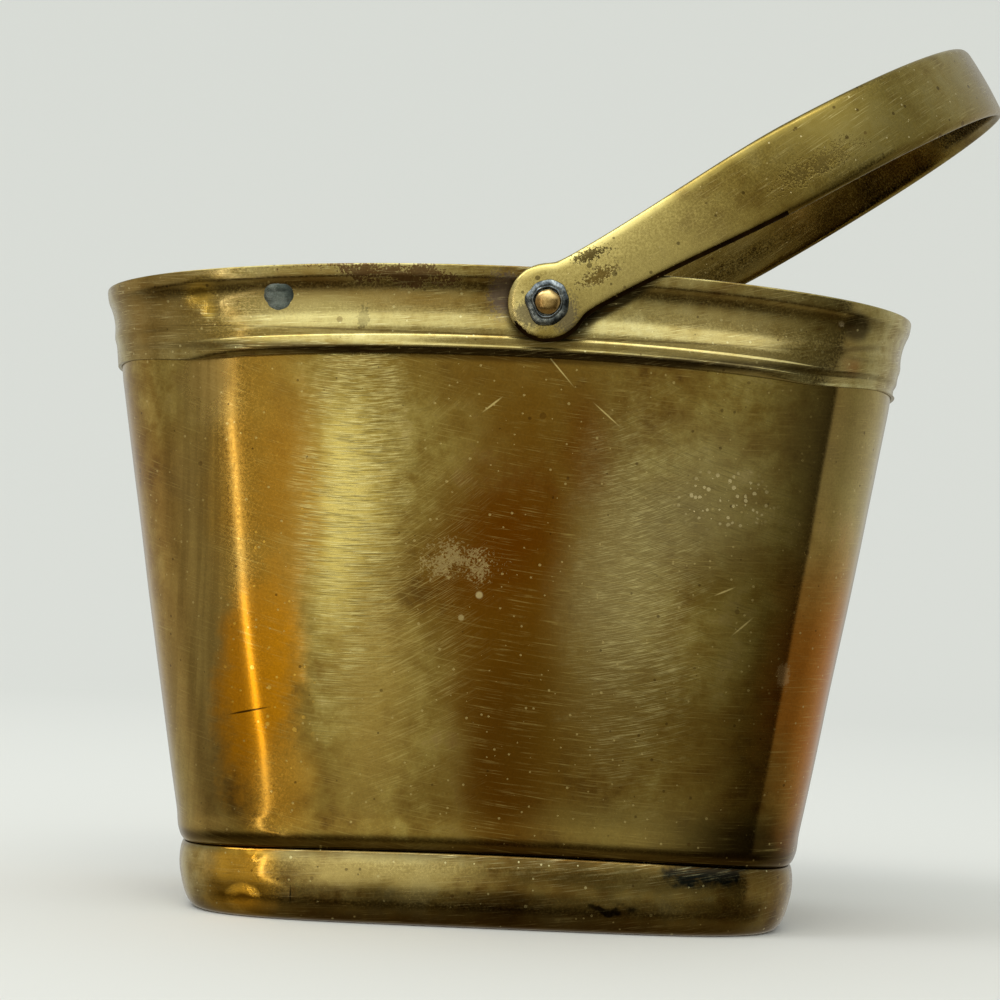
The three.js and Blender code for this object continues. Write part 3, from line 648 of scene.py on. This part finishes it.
moulding = {
    "columns": 480, "footRise": 1.9, "lipFade": 0.45,
}
mouldingFace = [(offset, mouldingFoot + height) for offset, height in [
    (0.3, 0), (1.3, 0), (1.75, 0.1), (2.2, 0.7), (2.36, 1.3), (2.22, 1.8), (1.9, 3.0), (1.74, 3.35),
    (1.72, 3.7), (1.68, 4.6), (1.42, 5.9), (1.12, 7.4), (1.0, 9.2), (1.18, 11.0), (1.56, 12.5), (1.9, 13.4),
    (2.03, 14.1), (2.08, 14.8), (2.08, 15.4), (1.9, 15.64), (1.1, 15.6), (0.3, 15.6)]]
rimMoulding = carryRound("rim_moulding_strip", curvedProfile(mouldingFace) + [mouldingFace[0]], mouldingBrass,
                         columns=moulding["columns"], bulge=wall["bulge"], seed=wall["seed"])


def smoothStep(value, low, high):
    t = min(1, max(0, (value - low) / (high - low)))
    return t * t * (3 - 2 * t)


def plainEnds(mesh):
    # the lip and its step die out towards both ends, where the strip's foot sits higher
    lay = mesh.attributes["lay"].data
    for i, vertex in enumerate(mesh.vertices):
        offset, height = lay[i].vector[0] / mm, lay[i].vector[2] / mm - mouldingFoot
        across = abs(vertex.co.x) / mm / planAt(mouldingFoot + height)[0]
        face = 0.9 + 0.3 * smoothStep(height, 4, 9)
        inwards = max(0, offset - face) * smoothStep(across, 0.6, 0.86) * (1 - smoothStep(height, 5, 9))
        beside = smoothStep(vertex.co.x / mm, -24, 4) if vertex.co.y < 0 else 0
        inwards += (moulding["lipFade"] * beside * (1 - smoothStep(abs(height - 1.2), 0.3, 1.9))
                    * (offset > 1))
        vertex.co -= Vector((vertex.co.x * 0.7, vertex.co.y, 0)).normalized() * inwards * mm
        vertex.co.z += (moulding["footRise"] * smoothStep(across, 0.74, 1.0)
                        * (1 - smoothStep(height, 0, 9)) * mm)


plainEnds(rimMoulding.data)

# drop of solder on the moulding

drop = {
    "x": -40.2, "z": 109.6, "width": 5.6, "height": 5.2, "thick": 0.3, "sunk": 0.12, "rings": 14, "steps": 56,
}


def mouldingOffsetAt(z):
    for (low, start), (high, end) in zip(mouldingFace[2:-3], mouldingFace[3:-2]):
        if start <= z <= end:
            return low + (high - low) * (z - start) / (end - start)
    return mouldingFace[4][0]


def buildDrop():
    # shaped like a shield, it follows the moulding's hollow
    points = []
    for ring in range(drop["rings"] + 1):
        share = ring / drop["rings"]
        for step in range(drop["steps"]):
            angle = step / drop["steps"] * math.tau
            across, along = math.cos(angle), math.sin(angle)
            reach = share * (1 - 0.22 * max(0, along) ** 4 + 0.14 * max(0, -along) ** 7)
            reach *= 1 + 0.07 * noise.noise(Vector((across * 2, along * 2, 4)))
            x = drop["x"] + drop["width"] / 2 * across * reach
            z = drop["z"] + drop["height"] / 2 * along * reach
            rise = drop["thick"] * (1 - share ** 3) - drop["sunk"]
            level = z + plan["rimDip"] * (x / planAt(z)[0]) ** 2
            y = -wallFaceAt(x, level) - mouldingOffsetAt(level) - rise
            points.append((x * mm, y * mm, z * mm))
    mesh = meshOf("rim_solder_drop", points, ringFaces(drop["rings"] + 1, drop["steps"]))
    return finishedMesh("rim_solder_drop", mesh, smoothSolder)


rimDrop = buildDrop()

# base pan

pan = {
    "sheet": 0.8, "band": 13.2, "flange": 4.2, "corner": 3.2, "proud": 0.8, "flangeFace": -1.7,
    "poleRows": 24, "columns": 400,
}
panFace = [
    (-8.2, 0), (-4.5, 0), (-1.7, 0), (-0.3, 0.5), (0.4, 1.8), (0.78, 3.6), (0.92, 5.6), (0.95, 7.2), (0.84, 8.8),
    (0.56, 10.4), (0.2, 11.7), (-0.16, 12.6), (-0.6, 13.1), (-1.2, 13.2)]
panInside = pan["flangeFace"] - pan["sheet"]
panBack = [
    (pan["flangeFace"], pan["band"], 0.2),
    (pan["flangeFace"], pan["band"] + pan["flange"], 0.25),
    (panInside, pan["band"] + pan["flange"], 0.25),
    (panInside, pan["band"] - pan["sheet"], 0.6),
    (pan["proud"] - pan["sheet"] - 0.4, pan["band"] - pan["sheet"] - 0.2, 0.6),
    (pan["proud"] - pan["sheet"], pan["sheet"], pan["corner"] - pan["sheet"]),
    (pan["proud"] - 9, pan["sheet"], 0),
]
panLine = curvedProfile(panFace) + softProfile(panBack, closed=False, longest=1.0)
rows = pan["poleRows"]  # from the middle of the dish out to its band, below and above
panProfile = [(panLine[0][0], 0, row / rows) for row in range(rows)]
panProfile += [(offset, height, 1.0) for offset, height in panLine]
panProfile += [(panLine[-1][0], pan["sheet"], 1 - row / rows) for row in range(1, rows + 1)]
basePan = carryRound("base_pan_pressing", panProfile, panBrass, columns=pan["columns"])

# solder run between the wall and the moulding

rimSeam = carryRound("rim_solder_seam", softProfile([
    (0.02, 114.4, 0.05), (0.28, 114.4, 0.05), (0.28, 115.85, 0.1), (0.02, 115.7, 0.1)], longest=0.6), solder)
print("wall, moulding and pan made")

# bail

bail = {
    "sheet": 2.0, "eye": 13.8, "neck": 10.6, "shoulder": 14.4, "grip": 14.0, "edge": 0.7, "bevel": 1.5,
    "crown": 0.3, "arm": 45.0, "bow": 51.0, "lift": 31.6, "middle": 47.5, "pivotX": 6.8, "pivotZ": 109.6,
    "hammered": 0.12, "flatEyes": 9, "shadeEdge": 0.8, "bore": 1.9, "armSteps": 48, "bowSteps": 160,
}


def strapHalfWidth(distance, halfSpan):
    eye = bail["eye"] / 2
    disc = math.sqrt(max(0, eye * eye - distance * distance))
    if distance < 0:
        return disc
    toShoulder = smoothStep(distance, eye, bail["arm"] + eye)
    toGrip = smoothStep(distance, bail["arm"] + eye, halfSpan)
    strap = (bail["neck"] + (bail["shoulder"] - bail["neck"]) * toShoulder
             + (bail["grip"] - bail["shoulder"]) * toGrip) / 2
    return (disc + strap + math.hypot(disc - strap, min(1, distance / eye))) / 2


def strapLine():
    # (along, across) down the middle of the strap's thickness, from eye to eye
    eye, arm, middle, bend = bail["eye"] / 2, bail["arm"], bail["middle"], bail["bowSteps"]
    line = [(-eye * math.cos(math.radians(angle)), -middle) for angle in range(0, 91, 5)]
    line += [(arm * step / bail["armSteps"], -middle) for step in range(1, bail["armSteps"])]
    line += [(arm + bail["bow"] * math.sin(step / bend * math.pi), -middle * math.cos(step / bend * math.pi))
             for step in range(bend + 1)]
    return line + [(along, -across) for along, across in line[:-bend - 1]][::-1]


def buildBail():
    line = strapLine()
    lengths = [0]
    for (a, b), (c, d) in zip(line, line[1:]):
        lengths.append(lengths[-1] + math.hypot(c - a, d - b))
    eye = bail["eye"] / 2
    halfSpan = lengths[-1] / 2 - eye
    half = bail["sheet"] / 2
    insets = [bail["bevel"] * share for share in (0, 0.03, 0.1, 0.2, 0.34, 0.5, 0.7, 1)]
    points = []
    shadeMarks = []
    for i, (along, across) in enumerate(line):
        before, after = line[max(0, i - 1)], line[min(len(line) - 1, i + 1)]
        tangent = Vector((after[0] - before[0], after[1] - before[1])).normalized()
        distance = min(lengths[i], lengths[-1] - lengths[i]) - eye
        width = strapHalfWidth(distance, halfSpan)
        wide = [max(0, width - inset) for inset in insets]
        wide += [max(0, width - bail["bevel"]) * (1 - step / 9) for step in range(1, 9)]
        wide += [0] + [-w for w in reversed(wide)]
        for side in (1, -1):
            for w in (wide if side > 0 else reversed(wide)):
                inside = width - abs(w)
                if distance < 0:
                    inside = eye - math.hypot(distance, w)
                left = 1 - min(max(0, inside), bail["bevel"]) / bail["bevel"]
                out = abs(w) / max(width, 1e-6) if distance >= 0 else min(1, math.hypot(distance, w) / eye)
                fall = bail["edge"] * (1 - math.sqrt(max(0, 1 - left * left))) + bail["crown"] * out * out
                thick = side * (half - min(fall, half))
                points.append((along + tangent.y * thick, across - tangent.x * thick, w))
                # marks the lower edge near the eyes for the painted shade
                shadeMarks.append(float(w < 0 and inside < bail["shadeEdge"] and distance < bail["arm"]))
    lift = math.radians(bail["lift"])
    placed = []
    for along, across, wide in points:
        dent = noise.noise(Vector((along, across, wide)) * 0.09) * bail["hammered"]
        atEye = abs(across) > bail["middle"] - 3.5 and along < bail["flatEyes"]
        keep = 1 if atEye else 1 + dent / 50
        placed.append((
            (bail["pivotX"] + along * math.cos(lift) - wide * math.sin(lift)) * mm,
            across * keep * mm,
            (bail["pivotZ"] + along * math.sin(lift) + wide * math.cos(lift)) * mm))
    mesh = meshOf("bail_strap", placed, ringFaces(len(line), len(points) // len(line)))
    mesh.attributes.new("shadeEdge", "FLOAT", "POINT").data.foreach_set("value", shadeMarks)
    piece = finishedMesh("bail_strap", mesh, bailBrass)
    # painted shade: the lower edge of each arm takes a near-black finish for its shadow and dark reflection
    mesh.materials.append(shadeEdgeBrass)
    edge = mesh.attributes["shadeEdge"].data
    for face in mesh.polygons:
        face.material_index = int(all(edge[i].value > 0.5 for i in face.vertices))
    return piece


def bored(piece, radius):
    # drills a piece right through on the pivots' axis
    drill = bmesh.new()
    bmesh.ops.create_cone(drill, cap_ends=True, segments=64, radius1=radius * mm, radius2=radius * mm, depth=0.2,
                          matrix=Matrix.Translation((bail["pivotX"] * mm, 0, bail["pivotZ"] * mm))
                          @ Matrix.Rotation(math.radians(90), 4, "X"))
    drillMesh = bpy.data.meshes.new("drill")
    drill.to_mesh(drillMesh)
    drill.free()
    tool = bpy.data.objects.new("drill", drillMesh)
    bpy.context.collection.objects.link(tool)
    cut = piece.modifiers.new("bore", "BOOLEAN")
    cut.operation = "DIFFERENCE"
    cut.object = tool
    cut.solver = "EXACT"
    mesh = bpy.data.meshes.new_from_object(piece.evaluated_get(bpy.context.evaluated_depsgraph_get()))
    piece.modifiers.clear()
    piece.data = mesh
    bpy.data.objects.remove(tool)


bailStrap = buildBail()
bored(bailStrap, bail["bore"])
print("bail made")

# pivots: turned shapes whose profile of (radius, distance) runs out along Y

pivot = {
    "steps": 72, "bailOutside": 48.5, "bailInside": 46.5, "gap": 0.3, "rod": 1.6,
    "tipSeat": 49.1, "tipRadius": 2.2, "tipRise": 1.0, "headRadius": 3.1, "headRise": 1.5,
    "washerBore": 1.75, "washerRadius": 3.9, "ringRadius": 2.55, "spacerRadius": 3.3, "spacerFoot": 1.75,
    "burrRadius": 4.2, "burrSheet": 1,
}


def turned(name, profile, side, finish, uneven=0.0, seed=0.0, closed=False):
    points = []
    faces = []
    count = len(profile)
    for step in range(pivot["steps"]):
        angle = step / pivot["steps"] * math.tau
        across, along = math.cos(angle), math.sin(angle)
        for radius, distance in profile:
            wander = noise.noise(Vector((across * 1.6, along * 1.6, seed + radius * 0.3)))
            reach = radius * (1 + uneven * wander)
            points.append(((bail["pivotX"] + reach * across) * mm, side * distance * mm,
                           (bail["pivotZ"] + reach * along) * mm))
        following = (step + 1) % pivot["steps"]
        for i in range(count if closed else count - 1):
            j = (i + 1) % count
            faces.append((step * count + i, following * count + i, following * count + j, step * count + j))
    return finishedMesh(name, meshOf(name, points, faces), finish)


def roundOver(centre, radius, rise, start, end, steps=8):
    angles = [math.radians(start + (end - start) * i / steps) for i in range(steps + 1)]
    return [(centre[0] + radius * math.cos(a), centre[1] + rise * math.sin(a)) for a in angles]


pivotPieces = []
for label, side, seed in (("near", -1, 2.0), ("far", 1, 7.0)):
    gap, rod = pivot["gap"], pivot["rod"]
    burrSeat = wallFaceAt(bail["pivotX"] + 4.2, bail["pivotZ"] - 4.2) - wall["sheet"] - gap
    headSeat = burrSeat - pivot["burrSheet"] - gap
    tip = pivot["tipSeat"]
    pinProfile = [(0, headSeat - pivot["headRise"])]
    pinProfile += roundOver((0, headSeat), pivot["headRadius"], pivot["headRise"], -89, 0)
    pinProfile += [(rod, headSeat), (rod, tip)]
    pinProfile += roundOver((0, tip), pivot["tipRadius"], pivot["tipRise"], 0, 89) + [(0, tip + pivot["tipRise"])]
    pin = turned("pivot_pin_" + label + "_rivet", pinProfile, side, copper, 0.05, seed)
    outside, bore, brim = pivot["bailOutside"], pivot["washerBore"], pivot["washerRadius"]
    washerProfile = [(bore, outside + 0.12), (brim, outside + 0.04), (brim - 0.15, outside + 0.16),
                     (3.1, outside + 0.26), (2.85, outside + 0.3)]
    washerProfile += roundOver((pivot["ringRadius"], outside + 0.34), 0.26, 0.38, -10, 190)
    washerProfile += [(2.25, outside + 0.3), (bore, outside + 0.3)]
    washer = turned("pivot_washer_" + label + "_solder", washerProfile, side, solder, 0.14, seed + 3, closed=True)
    inner, brim = bail["bore"], pivot["spacerRadius"]
    start, end = wallFaceAt(bail["pivotX"], bail["pivotZ"]) + pivot["spacerFoot"], pivot["bailInside"] - gap
    spacer = turned("pivot_spacer_" + label + "_ring", [(inner, start), (brim, start), (brim, end), (inner, end)],
                    side, dullBrass, closed=True)
    start, end, brim = burrSeat - pivot["burrSheet"], burrSeat, pivot["burrRadius"]
    burr = turned("pivot_burr_" + label + "_ring",
                  [(inner, start), (brim - 0.2, start), (brim, start + 0.2), (brim, end), (inner, end)],
                  side, dullBrass, closed=True)
    pivotPieces += [
        (pin, "pivot_pin_" + label, "pin_bronze"), (washer, "pivot_washer_" + label, "washer_steel"),
        (spacer, "pivot_spacer_" + label, "spacer_brass"), (burr, "pivot_burr_" + label, "burr_brass"),
    ]
print("pivots made")

# who carries what

for piece, node, slot in [
        (bodyWall, "body_wall", "wall_brass"), (rimMoulding, "rim_moulding", "moulding_brass"),
        (basePan, "base_pan", "pan_brass")] + pivotPieces:
    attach(piece, "bucket")
    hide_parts(node)
for piece in (rimSeam, rimDrop):
    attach(piece, "bucket")
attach(bailStrap, "bail")
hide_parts("bail")

# floor, backdrop, lights, camera

studio = {  # metres and watts
    "floorRadius": 0.95, "sweepRadius": 0.7, "sweepHeight": 1.8, "paper": "#e0e2e0", "aimHeight": 0.06,
    "keyAt": (-0.75, -0.35, 1.15), "keySize": (0.55, 0.55), "keyPower": 4.0,
    "overheadAt": (-0.1, -0.75, 1.3), "overheadSize": (0.9, 0.35), "overheadPower": 3.0,
    "fill": 0.95, "lamp": (2.1, 2.15, 1.95),
    "door": [4.2, 3.7, 3.0, 1], "doorAzimuth": -37.4, "doorLean": 0.84, "doorWidths": (1.5, 0.4),
}
paper = bpy.data.materials.new("paleStudioPaper")
paper.use_nodes = True
for label, value in (("Base Color", hexColour(studio["paper"])), ("Roughness", 0.9), ("Specular IOR Level", 0.1)):
    paper.node_tree.nodes["Principled BSDF"].inputs[label].default_value = value


def revolved(name, outline, steps=96):
    # a surface turned about the vertical through the scuttle
    points = [(r * math.cos(i / steps * math.tau), r * math.sin(i / steps * math.tau), z)
              for r, z in outline for i in range(steps)]
    return finishedMesh(name, meshOf(name, points, ringFaces(len(outline), steps)), paper)


floor = revolved("studio_floor", [(0.0001, 0), (studio["floorRadius"], 0)])
curve = [(studio["floorRadius"] + studio["sweepRadius"] * math.sin(math.radians(a)),
          studio["sweepRadius"] * (1 - math.cos(math.radians(a)))) for a in range(0, 91, 5)]
sweep = revolved("studio_sweep", curve + [(curve[-1][0], studio["sweepHeight"])])
sweep.visible_glossy = sweep.visible_diffuse = sweep.visible_shadow = sweep.visible_transmission = False
floor.visible_glossy = False  # the wall shows the room, not the table

# the room as the metal sees it
world = bpy.data.worlds.new("studioRoom")
bpy.context.scene.world = world
world.use_nodes = True
world.cycles.sampling_method = "NONE"
sky = world.node_tree
sky.nodes.clear()
direction = addNode(sky, "ShaderNodeSeparateXYZ",
                    [addNode(sky, "ShaderNodeTexCoord").outputs["Generated"]]).outputs
towards = addNode(sky, "ShaderNodeMath", [direction["Y"], -1.0], operation="MULTIPLY")
azimuth = addNode(sky, "ShaderNodeMath", [direction["X"], towards], operation="ARCTAN2")
sideways = addNode(sky, "ShaderNodeMath", [azimuth], operation="ABSOLUTE")
up = addNode(sky, "ShaderNodeMath", [direction["Z"]], operation="ARCSINE")
turnShare = addNode(sky, "ShaderNodeMapRange", {"Value": azimuth, "From Min": -math.pi, "From Max": math.pi})
roomTones = [  # degrees from the camera's side, towards the right
    (-180, "#9a9890"), (-150, "#d6d6d0"), (-120, "#cfc9bc"), (-95, "#d8cdb8"), (-78, "#b4a890"),
    (-62, "#c4bba4"), (-50, "#b4aa90"), (-40, "#bfb394"), (-34, "#c0b28c"), (-29, "#e0d4b4"),
    (-26, "#c8bd9a"), (-18, "#dcd3b4"), (-11, "#f2eaca"), (-5, "#d8d0b2"), (2, "#c8c2a6"), (8, "#c4bea6"),
    (16, "#b8b29a"), (26, "#9c9680"), (38, "#767058"), (54, "#544e3c"), (58.6, "#3c3628"), (60.4, "#aea48c"),
    (80, "#aaa48e"), (120, "#d8d6d0"), (150, "#d6d6d0"), (165, "#b0aea6"), (180, "#9a9890"),
]
room = addNode(sky, "ShaderNodeValToRGB", [turnShare],
               [((a + 180) / 360, hexColour(tone)) for a, tone in roomTones])
# a lit doorway on the left, narrow and bright, that leans a little
doorAt = addNode(sky, "ShaderNodeMath", [azimuth, math.radians(-studio["doorAzimuth"])], operation="ADD")
doorLean = addNode(sky, "ShaderNodeClamp", [up, math.radians(-20), math.radians(-8)])
fromDoor = addNode(sky, "ShaderNodeMath", [doorLean, studio["doorLean"], doorAt], operation="MULTIPLY_ADD")
doorEdge = addNode(sky, "ShaderNodeMath", [fromDoor], operation="ABSOLUTE")
share = {}
for part, value, start, end, first, last, fade in (  # degrees over which each part of the room comes in
        ("door", doorEdge, *studio["doorWidths"], 0, 1, "LINEAR"),
        ("ceiling", up, 12, 36, 0, 1, "SMOOTHSTEP"),
        ("lamp", sideways, 16, 70, 1, 0.3, "SMOOTHSTEP"),
        ("floor", up, -6, -28, 0, 1, "SMOOTHSTEP"),
        ("nearFloor", up, -27, -40, 0, 1, "SMOOTHSTEP"),
        ("behind", sideways, 66, 110, 0, 1, "SMOOTHSTEP")):
    share[part] = addNode(sky, "ShaderNodeMapRange",
                          {"Value": value, "From Min": math.radians(start), "From Max": math.radians(end),
                           "To Min": first, "To Max": last}, interpolation_type=fade).outputs[0]
lampTone = addNode(sky, "ShaderNodeVectorMath", {0: studio["lamp"], "Scale": share["lamp"]}, operation="SCALE")
tone = {"room": room, "door": studio["door"], "lamp": lampTone, "floor": hexColour("#4a4028"),
        "nearFloor": hexColour("#85785a"), "behind": hexColour("#a8a294")}
for part, under, over in (
        ("door", "room", "door"), ("ceiling", "door", "lamp"), ("nearFloor", "floor", "nearFloor"),
        ("behind", "nearFloor", "behind"), ("floor", "ceiling", "behind")):
    tone[part] = addNode(sky, "ShaderNodeMix", {0: share[part], 6: tone[under], 7: tone[over]},
                         data_type="RGBA").outputs[2]
path = addNode(sky, "ShaderNodeLightPath").outputs
ambient = addNode(sky, "ShaderNodeBackground", {"Color": hexColour("#f2f4f0"), "Strength": studio["fill"]})
reflected = addNode(sky, "ShaderNodeBackground", {"Color": tone["floor"], "Strength": 1.0})
mixed = addNode(sky, "ShaderNodeMixShader", [path["Is Glossy Ray"], ambient, reflected])
addNode(sky, "ShaderNodeOutputWorld", [mixed])

for label, tint in (("key", "#ffffff"), ("overhead", "#fff6e0")):
    lamp = bpy.data.lights.new(label + "Light", "AREA")
    lamp.shape = "RECTANGLE"
    lamp.size, lamp.size_y = studio[label + "Size"]
    lamp.energy = studio[label + "Power"]
    lamp.color = hexColour(tint)[:3]
    box = bpy.data.objects.new(label + "Light", lamp)
    box.location = studio[label + "At"]
    aim = Vector((0, 0, studio["aimHeight"])) - Vector(studio[label + "At"])
    box.rotation_euler = aim.to_track_quat("-Z", "Y").to_euler()
    box.visible_camera = False
    bpy.context.collection.objects.link(box)

view = {  # fitted to the outline in the photograph: millimetres, radians and pixels
    "at": (2.9, -461.35, 56.45), "pitch": 0.045, "roll": -0.042, "yaw": -0.007, "focal": 2400, "frame": 1000,
}
level = Vector((math.cos(view["yaw"]), -math.sin(view["yaw"]), 0))
forward = Vector((math.sin(view["yaw"]) * math.cos(view["pitch"]),
                  math.cos(view["yaw"]) * math.cos(view["pitch"]), math.sin(view["pitch"])))
upward = level.cross(forward)
right = level * math.cos(view["roll"]) - upward * math.sin(view["roll"])
top = level * math.sin(view["roll"]) + upward * math.cos(view["roll"])
lens = bpy.data.cameras.new("camera")
lens.sensor_width = 36
lens.lens = view["focal"] / view["frame"] * lens.sensor_width
lens.clip_start = 0.01
camera = bpy.data.objects.new("camera", lens)
bpy.context.collection.objects.link(camera)
facing = Matrix((right, top, -forward)).transposed().to_4x4()
facing.translation = Vector(view["at"]) * mm
camera.matrix_world = facing
bpy.context.scene.camera = camera
bpy.context.scene.view_settings.view_transform = "Standard"
print("studio set")
